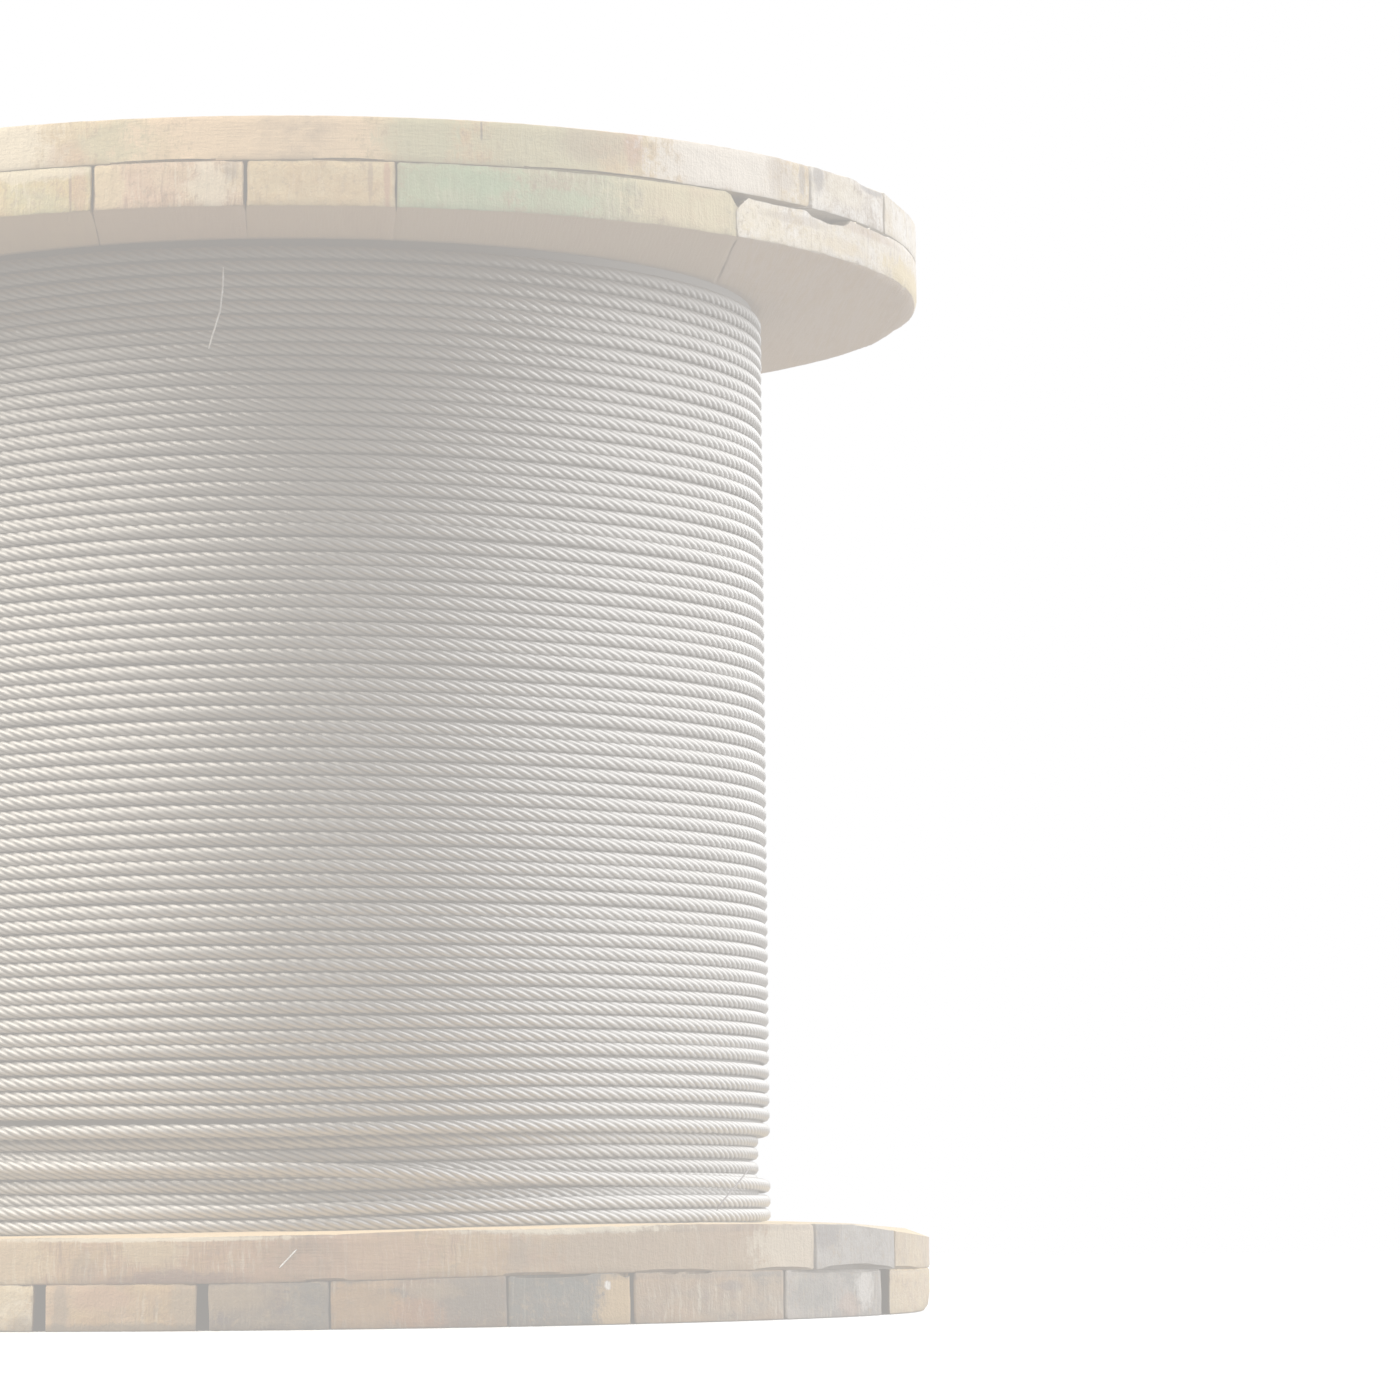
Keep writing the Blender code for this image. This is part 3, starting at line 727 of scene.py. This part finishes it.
def dress(node, finish):
    """Give a CAD node that stays in the scene its finish."""
    materials = bpy.data.objects[node].data.materials
    materials.clear()
    materials.append(finish.material)


for number in range(1, 13):
    node = f"barrel_stave_{number}"
    stave_finish = Finish(node, roughness=0.85)
    x, y, z = stave_finish.object_place()
    grain = stave_finish.noise(x * 300, y * 300, z * 12, detail=3)
    stave_finish.wear("Base Color", stave_finish.paint(grain, CREAM, TAN))
    stave_finish.relief(grain, 0.0006, 0.7)
    dress(node, stave_finish)

# Tie bolts through both flanges inside the hollow barrel, with nuts and square washers in recesses in
# the outer faces, all of them zinc plated and gone dull.
plated_finish = Finish("zinc_plate", metallic=0.9)
x, y, z = plated_finish.object_place()
bloom = plated_finish.noise(x * 180, y * 180, z * 180, detail=3)
plated_finish.wear("Base Color", plated_finish.paint(bloom, (0.62, 0.60, 0.57), (0.42, 0.40, 0.37)))
plated_finish.wear("Roughness", 0.35 + bloom * 0.3)
for number in range(1, 5):
    for kind in ("tie_bolt", "bolt_nut", "lower_washer", "upper_washer"):
        dress(f"{kind}_{number}", plated_finish)

# Wound rope. Six strands of fine wire, laid right-handed round a core, make the rope, so the strands
# lean down to the right on the front of a turn. The turns lie side by side, greased and a little dirty
# in the grooves between strands, and darker where one turn meets the next; the topmost turns, under
# the flange, carry painted shadow. The outer layer is one rope that climbs the reel clockwise from its
# foot.
ROPE_RADIUS = 0.00495
STRANDS = 6
ROPE_LAY = 0.056
STRAND_COLUMNS = 4
FACE_ANGLES = np.radians([85, 51, 17, -17, -51, -85])
WIRE_SPACING = 0.00066
WIRE_LEAN = math.radians(20.0)
STRAND_SLOPE = 0.5
WIRE_SHIFT = 0.37
GROOVE_DEPTH = 0.76
PAINTED_SHADOW_HEIGHT = 0.045
winding_low, winding_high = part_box("rope_winding")
WINDING_RADIUS = winding_high[0]
TURN_SPACES = 68
TURN_PITCH = (winding_high[2] - winding_low[2]) / TURN_SPACES
LAYER_RISE = math.sqrt((2 * ROPE_RADIUS) ** 2 - (TURN_PITCH / 2) ** 2)
OUTER_CENTRE = WINDING_RADIUS - ROPE_RADIUS
UNDER_CENTRE = OUTER_CENTRE - LAYER_RISE


def strand_profile(share):
    """How far a strand's surface lies from the rope's axis, from one groove (0) to the next (1).

    A circle of half the strands' circle's radius, seen from the rope's axis, with its grooves filled a
    little, as greased strands are.
    """
    turn = (share - 0.5) * 2 * math.pi / STRANDS
    circle = ROPE_RADIUS * 2 / 3
    half = circle / 2
    reach = circle * np.cos(turn) + np.sqrt(np.maximum(0.0, half ** 2 - (circle * np.sin(turn)) ** 2))
    return np.maximum(reach, ROPE_RADIUS * GROOVE_DEPTH)


def wound_rope(name, first, last, heights, centre, climbs, finish):
    """Turns of rope from the turn numbered first to last, as a grid that follows the strands.

    Columns run along the strands and rows round the rope, over the side that faces out and once across
    its back. A column's place along the rope moves on as it comes round, by the lay. The rope's axis is
    at the given heights, in pitches, for each turn, on a circle of the given radius.
    """
    turn_length = 2 * math.pi * centre
    strand_step = ROPE_LAY / STRANDS
    first_column = round(first * turn_length / strand_step) * STRAND_COLUMNS
    last_column = round(last * turn_length / strand_step) * STRAND_COLUMNS
    column = np.arange(first_column, last_column + 1)
    reach = strand_profile((column % STRAND_COLUMNS) / STRAND_COLUMNS)[None, :]
    angle = FACE_ANGLES[:, None]
    along = column[None, :] * strand_step / STRAND_COLUMNS + ROPE_LAY * climbs * angle / (2 * math.pi)
    turn = along / turn_length
    out = centre + reach * np.cos(angle)
    bearing = -2 * math.pi * turn * climbs
    height = TURN_PITCH * heights(turn)
    lift = board_bow(out * np.cos(bearing)) * np.clip(1 - height / BOW_FADE, 0, 1)
    height = height + lift + winding_low[2]
    points = round_axis(out, bearing, height + reach * np.sin(angle))
    rows, columns = points.shape[:2]
    quads = grid_quads(rows, columns, close_rows=True)
    row_start = np.arange(rows) * columns
    ends = [row_start, (row_start + columns - 1)[::-1]]
    if climbs > 0:
        quads = quads[:, ::-1]
        ends = [end[::-1] for end in ends]
    piece = add_piece(name, points, [*quads, *ends], finish, smooth_angle=180.0)
    mesh = piece.data
    crest = np.broadcast_to((reach - reach.min()) / (reach.max() - reach.min()), (rows, columns))
    groove = np.broadcast_to(np.abs(angle) / FACE_ANGLES[0], (rows, columns))
    for attribute, values in (("crest", crest), ("groove", groove)):
        layer = mesh.attributes.new(attribute, "FLOAT", "POINT")
        layer.data.foreach_set("value", values.astype(np.float32).ravel())
    face = np.arange(len(quads))[:, None]
    strand = column[face % (columns - 1)] // STRAND_COLUMNS
    over = (column[quads % columns] / STRAND_COLUMNS - strand) * strand_step * math.cos(STRAND_SLOPE)
    row = np.maximum(quads // columns, face // (columns - 1))
    onward = FACE_ANGLES[row] / (2 * math.pi) * ROPE_LAY
    wires = (over * math.cos(WIRE_LEAN) - onward * math.sin(WIRE_LEAN)) / WIRE_SPACING
    uv = np.stack([wires, onward / WIRE_SPACING + strand * WIRE_SHIFT], axis=-1).reshape(-1, 2)
    uv = np.concatenate([uv, np.zeros((len(mesh.loops) - len(uv), 2))])
    mesh.uv_layers.new(name="wires").data.foreach_set("uv", uv.astype(np.float32).ravel())


OUTER_CLIMB = (
    (-0.5, 0.5), (0.35, 0.5), (1.0, 1.5), (1.35, 1.52), (2.0, 2.55), (2.14, 3.1), (2.19, 3.35),
    (2.245, 4.3), (2.33, 4.62), (2.5, 5.1), (3.0, 6.75), (3.14, 6.9), (3.33, 7.0), (4.0, 7.85),
    (4.14, 8.02), (4.33, 8.3), (5.0, 8.95), (8.0, 12.1), (65.75, 67.5), (67.0, 68.8),
)
CLIMB_SAMPLES = 6000
SMOOTHED_SAMPLES = 9


def outer_heights(turn):
    """The outer rope's height in pitches: even turns, but for the jump over three missing turns."""
    places, heights = np.array(OUTER_CLIMB).T
    fine = np.linspace(places[0], places[-1], CLIMB_SAMPLES)
    kernel = np.hanning(SMOOTHED_SAMPLES)
    padded = np.pad(np.interp(fine, places, heights), SMOOTHED_SAMPLES // 2, mode="edge")
    smooth = np.convolve(padded, kernel / kernel.sum(), mode="valid")
    slack = np.clip((turn - 3) / 3, 0, 1) * np.clip((65 - turn) / 3, 0, 1)
    loose = (0.05 * wobble(11, 2.3, turn) + 0.03 * wobble(12, 0.31, turn)) * slack
    return np.interp(turn, fine, smooth) + loose


def under_heights(turn):
    """The layer beneath winds the other way, half a pitch off, with a little slack."""
    return 7.93 - turn + 0.06 * wobble(5, 0.7, turn)


def rope_finish(name, dark, middle, bright):
    """Bright drawn wire: shiny on the strands' crests, greased dark between strands, and darker where one
    turn meets the next.

    The topmost turns, under the flange, are darkened with painted shadow.
    """
    finish = Finish(name, metallic=0.9)
    x, y, z = finish.object_place()
    wire_u = finish.split(finish.node("UVMap", {"uv_map": "wires"}))[0]
    crest = finish.node("Attribute", {"attribute_name": "crest"}, output=2)
    groove = finish.node("Attribute", {"attribute_name": "groove"}, output=2)
    over_wire = wire_u.math("FRACT") * 2 - 1
    wire_round = (1 - over_wire * over_wire).math("MAXIMUM", 0.0) ** 0.5
    grease = finish.noise(x * 30, y * 30, z * 60, detail=3)
    # Darker towards each turn's top and bottom, where it meets the next turn, and dark between the strands.
    worn = crest.rising(0.15, 0.95) - (groove - 0.45).math("MAXIMUM", 0.0) * 0.6 + (grease - 0.5) * 0.35
    # Painted shadow: the topmost turns, under the flange, are darkened.
    worn = worn - z.rising(winding_high[2] - PAINTED_SHADOW_HEIGHT, winding_high[2]) * 0.9
    colour = finish.paint(worn.rising(0.0, 0.45), dark, middle)
    colour = finish.paint(worn.rising(0.45, 1.0), colour, bright)
    finish.wear("Base Color", colour)
    finish.wear("Roughness", 0.37 + grease * 0.14)
    finish.wear("Anisotropic", 0.75)
    finish.wear("Anisotropic Rotation", 0.25)
    finish.relief(wire_round, 0.0001, 0.12)
    return finish


outer_finish = rope_finish("outer_rope", (0.100, 0.093, 0.086), (0.190, 0.179, 0.166), (0.31, 0.296, 0.278))
OUTER_FIRST = -0.25
OUTER_LAST = 65.75
PIECES_OF_ROPE = 4
stops = np.linspace(OUTER_FIRST, OUTER_LAST, PIECES_OF_ROPE + 1)
for number in range(PIECES_OF_ROPE):
    name = f"outer_turns_{number + 1}"
    wound_rope(name, stops[number], stops[number + 1], outer_heights, OUTER_CENTRE, 1, outer_finish)

# Seizing on the rope's end: soft iron wire, bound tightly round the rope so that its strands stay
# together. It sits at the back, under the upper flange.
SEIZING_COILS = 12
SEIZING_SETBACK = 0.003
SEIZING_LENGTH = 0.014
SEIZING_WIRE = 0.0006
SEIZING_SINK = 0.0002
SEIZING_SIDES = 5
COIL_STEPS = 14
coil = np.linspace(0, SEIZING_COILS, SEIZING_COILS * COIL_STEPS + 1)
from_end = SEIZING_SETBACK + SEIZING_LENGTH * coil / SEIZING_COILS
end_turn = OUTER_LAST - from_end / (2 * math.pi * OUTER_CENTRE)
end_bearing = -2 * np.pi * end_turn
end_height = winding_low[2] + TURN_PITCH * outer_heights(end_turn)
wire_side = full_turn(SEIZING_SIDES)[:, None]
wire_reach = ROPE_RADIUS - SEIZING_SINK + SEIZING_WIRE * np.cos(wire_side)
wire_out = OUTER_CENTRE + wire_reach * np.cos(2 * np.pi * coil)
wire_bearing = end_bearing + SEIZING_WIRE * np.sin(wire_side) / OUTER_CENTRE
wire_height = end_height + wire_reach * np.sin(2 * np.pi * coil)
seizing_points = round_axis(wire_out, wire_bearing, wire_height)
seizing_quads = grid_quads(SEIZING_SIDES, len(coil), close_rows=True)
row_start = np.arange(SEIZING_SIDES) * len(coil)
seizing_ends = [row_start, (row_start + len(coil) - 1)[::-1]]
seizing_finish = Finish("seizing_wire", metallic=0.7)
seizing_finish.wear("Base Color", (0.30, 0.27, 0.24))
add_piece("seizing", seizing_points, [*seizing_quads, *seizing_ends], seizing_finish)

# Turns of the layer beneath, of the same rope in a darker copy of its finish, wound the other way. They
# show in the space that the outer layer jumps over.
under_finish = rope_finish("under_rope", (0.080, 0.073, 0.065), (0.170, 0.158, 0.143), (0.28, 0.265, 0.245))
wound_rope("under_turns", 0.75, 6.75, under_heights, UNDER_CENTRE, -1, under_finish)

# Loose bits: a pale and a dark broken wire that stand off the winding, each held at one end by the
# turns, and a splinter of pale wood that has lifted from the lower flange's rim.
WIRE_SIDES = 6
WIRE_RINGS = 9
WIRE_TAPER = 0.4


def thin_rod(name, path, radius, tone):
    """A closed round rod along a path of points, tapered at both ends."""
    path = np.array(path, dtype=float)
    steps = np.linspace(0, len(path) - 1, WIRE_RINGS)
    line = np.stack([np.interp(steps, np.arange(len(path)), path[:, axis]) for axis in range(3)], axis=1)
    ahead = np.gradient(line, axis=0)
    ahead /= np.linalg.norm(ahead, axis=1)[:, None]
    side = np.cross(ahead, (0.31, 0.87, 0.38))
    side /= np.linalg.norm(side, axis=1)[:, None]
    other = np.cross(ahead, side)
    angle = full_turn(WIRE_SIDES)
    thick = radius * np.where((steps == 0) | (steps == steps[-1]), WIRE_TAPER, 1.0)
    offset = side[:, None] * np.cos(angle)[:, None] + other[:, None] * np.sin(angle)[:, None]
    points = line[:, None] + offset * thick[:, None, None]
    last = (len(line) - 1) * WIRE_SIDES
    faces = [*grid_quads(len(line), WIRE_SIDES, close_columns=True),
             np.arange(WIRE_SIDES)[::-1], np.arange(WIRE_SIDES) + last]
    finish = Finish(name)
    finish.wear("Base Color", tone)
    add_piece(name, points, faces, finish)


thin_rod("pale_wire", [
    (-0.0524, -0.3480, 0.7140), (-0.0528, -0.3520, 0.7000), (-0.0545, -0.3530, 0.6840),
    (-0.0600, -0.3500, 0.6665), (-0.0625, -0.3440, 0.6590),
], 0.00045, WHITE)
thin_rod("dark_wire", [
    (0.3152, -0.1545, 0.1040), (0.3100, -0.1650, 0.0985), (0.3000, -0.1820, 0.0880),
    (0.2910, -0.1960, 0.0790), (0.2875, -0.1990, 0.0735),
], 0.0006, PLUM)
thin_rod("splinter", [
    (-0.0048, -0.45656, 0.0522), (-0.0160, -0.45630, 0.0405),
], 0.0004, WHITE)

# Layers beneath: the rest of the wound steel rope, turned as one solid that fills the space between
# the barrel and the turns on show. It stays 2 mm behind their middles.
core_finish = Finish("inner_layers", metallic=0.7)
x, y, z = core_finish.object_place()
# Painted shade: the solid is near black, with a painted ramp of shade up each pitch, darker below and
# lighter above.
turn_shade = ((z - winding_low[2]) / TURN_PITCH).math("FRACT")
core_finish.wear("Base Color", core_finish.paint(turn_shade, (0.020, 0.018, 0.016), (0.05, 0.045, 0.04)))
CORE_SIDES = 120
CORE_SETBACK = 0.002
BORE_CLEARANCE = 0.0008
BORE_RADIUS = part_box("barrel_stave_1")[1][0] + BORE_CLEARANCE
behind_outer = OUTER_CENTRE - CORE_SETBACK
behind_under = UNDER_CENTRE - CORE_SETBACK
floor_height, roof_height = winding_low[2], winding_high[2]
core_profile = np.array([
    (BORE_RADIUS, floor_height),
    (behind_outer, floor_height),
    (behind_outer, floor_height + 1.9 * TURN_PITCH),
    (behind_under, floor_height + 2.4 * TURN_PITCH),
    (behind_under, floor_height + 6.4 * TURN_PITCH),
    (behind_outer, floor_height + 7.0 * TURN_PITCH),
    (behind_outer, roof_height),
    (BORE_RADIUS, roof_height),
])
core_points = round_axis(core_profile[:, :1], full_turn(CORE_SIDES), core_profile[:, 1:])
core_quads = grid_quads(len(core_profile), CORE_SIDES, close_rows=True, close_columns=True)
core = add_piece("inner_layers", core_points, core_quads, core_finish)
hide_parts("rope_winding")

# Plain pale floor, soft lights and a white backdrop. The floor fades out into the backdrop. Both look
# white to the camera and throw little light on the reel, so that the two soft lamps shape it.
FLOOR_RADIUS = 4.0
FLOOR_SIDES = 64
FADE_START = 0.7
FADE_END = FLOOR_RADIUS * 0.9
BACKDROP_RISE = (0.10, 0.80)
BACKDROP_LIGHT = (0.008, 0.08)
floor_finish = Finish("studio_floor", roughness=0.9)
x, y, z = floor_finish.object_place()
from_reel = (x * x + y * y) ** 0.5
seen = floor_finish.node("LightPath")
floor_finish.wear("Base Color", floor_finish.paint(seen, (0.044, 0.040, 0.036), (0.95, 0.95, 0.95)))
floor_finish.wear("Alpha", 1 - from_reel.rising(FADE_START, FADE_END))
floor_rim = round_axis(FLOOR_RADIUS, full_turn(FLOOR_SIDES), 0.0)
studio_floor = new_object("studio_floor", floor_rim, [range(FLOOR_SIDES)])
studio_floor.data.materials.append(floor_finish.material)

scene = bpy.context.scene
world = bpy.data.worlds.new("studio")
scene.world = world
sky = Nodes(world)
ray_height = sky.split(sky.node("TexCoord"))[2]
dim = sky.node("MapRange", None, dict(enumerate((ray_height, *BACKDROP_RISE, *BACKDROP_LIGHT))))
to_camera = sky.node("LightPath")
strength = sky.node("MapRange", None, {0: to_camera, 3: dim, 4: 1.0})
backdrop = sky.tree.nodes["Background"]
sky.feed(backdrop.inputs["Color"], (1.0, 1.0, 1.0))
sky.feed(backdrop.inputs["Strength"], strength)


def add_softbox(name, bearing, rise, distance, width, height, radiance, colour):
    """A soft rectangular lamp that faces the middle of the reel.

    Its bearing is in degrees to the right of the camera, as seen from the reel, and its rise in degrees
    above the reel's middle.
    """
    lamp = bpy.data.lights.new(name, "AREA")
    lamp.shape = "RECTANGLE"
    lamp.size = width
    lamp.size_y = height
    lamp.energy = radiance * math.pi * width * height
    lamp.color = colour
    holder = place_in_scene(name, lamp)
    side, tilt = math.radians(bearing), math.radians(rise)
    back = np.array([math.sin(side) * math.cos(tilt), -math.cos(side) * math.cos(tilt), math.sin(tilt)])
    right = np.array([math.cos(side), math.sin(side), 0.0])
    up = np.cross(back, right)
    turn = Matrix(np.stack([right, up, back], axis=1).tolist()).to_4x4()
    holder.matrix_world = Matrix.Translation(back * distance + (0, 0, 0.4)) @ turn


add_softbox("left_softbox", -79.0, 50.0, 4.2, 5.2, 3.8, 9.0, (1.0, 0.885, 0.71))
add_softbox("right_softbox", 110.0, 36.0, 3.8, 7.6, 6.0, 4.85, (1.0, 0.985, 0.965))

# Picture: a print lifted towards white, as the photograph is, seen through a long lens from low in
# front of the reel. The camera's place and turns are those that fit the photograph.
scene.view_settings.view_transform = "Standard"
scene.view_settings.use_curve_mapping = True
for print_curve, lift in zip(scene.view_settings.curve_mapping.curves, PRINT_LIFT):
    for place in (np.linspace(0, 1, 13) ** 2)[:-1]:
        shown = 1.055 * place ** (1 / 2.4) - 0.055 if place > 0.0031308 else 12.92 * place
        level = ((lift + (1 - lift) * shown + 0.055) / 1.055) ** 2.4
        if place > 0:
            print_curve.points.new(place, level)
        else:
            print_curve.points[0].location = (0.0, level)
scene.view_settings.curve_mapping.update()

CAMERA_DISTANCE = 3.996
CAMERA_HEIGHT = 0.0836
CAMERA_YAW = math.radians(4.21)
CAMERA_PITCH = math.radians(5.23)
CAMERA_ROLL = math.radians(-0.58)
FOCAL_PIXELS = 5425.0
PHOTO_PIXELS = 1400.0
camera_data = bpy.data.cameras.new("camera")
camera_data.sensor_width = 36.0
camera_data.lens = camera_data.sensor_width * FOCAL_PIXELS / PHOTO_PIXELS
camera = place_in_scene("camera", camera_data)
level_right = np.array([math.cos(CAMERA_YAW), -math.sin(CAMERA_YAW), 0.0])
level_ahead = np.array([math.sin(CAMERA_YAW), math.cos(CAMERA_YAW), 0.0])
up_axis = np.array([0.0, 0.0, 1.0])
ahead = level_ahead * math.cos(CAMERA_PITCH) + up_axis * math.sin(CAMERA_PITCH)
above = up_axis * math.cos(CAMERA_PITCH) - level_ahead * math.sin(CAMERA_PITCH)
right = level_right * math.cos(CAMERA_ROLL) + above * math.sin(CAMERA_ROLL)
up = above * math.cos(CAMERA_ROLL) - level_right * math.sin(CAMERA_ROLL)
camera_turn = Matrix(np.stack([right, up, -ahead], axis=1).tolist()).to_4x4()
camera.matrix_world = Matrix.Translation((0.0, -CAMERA_DISTANCE, CAMERA_HEIGHT)) @ camera_turn
scene.camera = camera
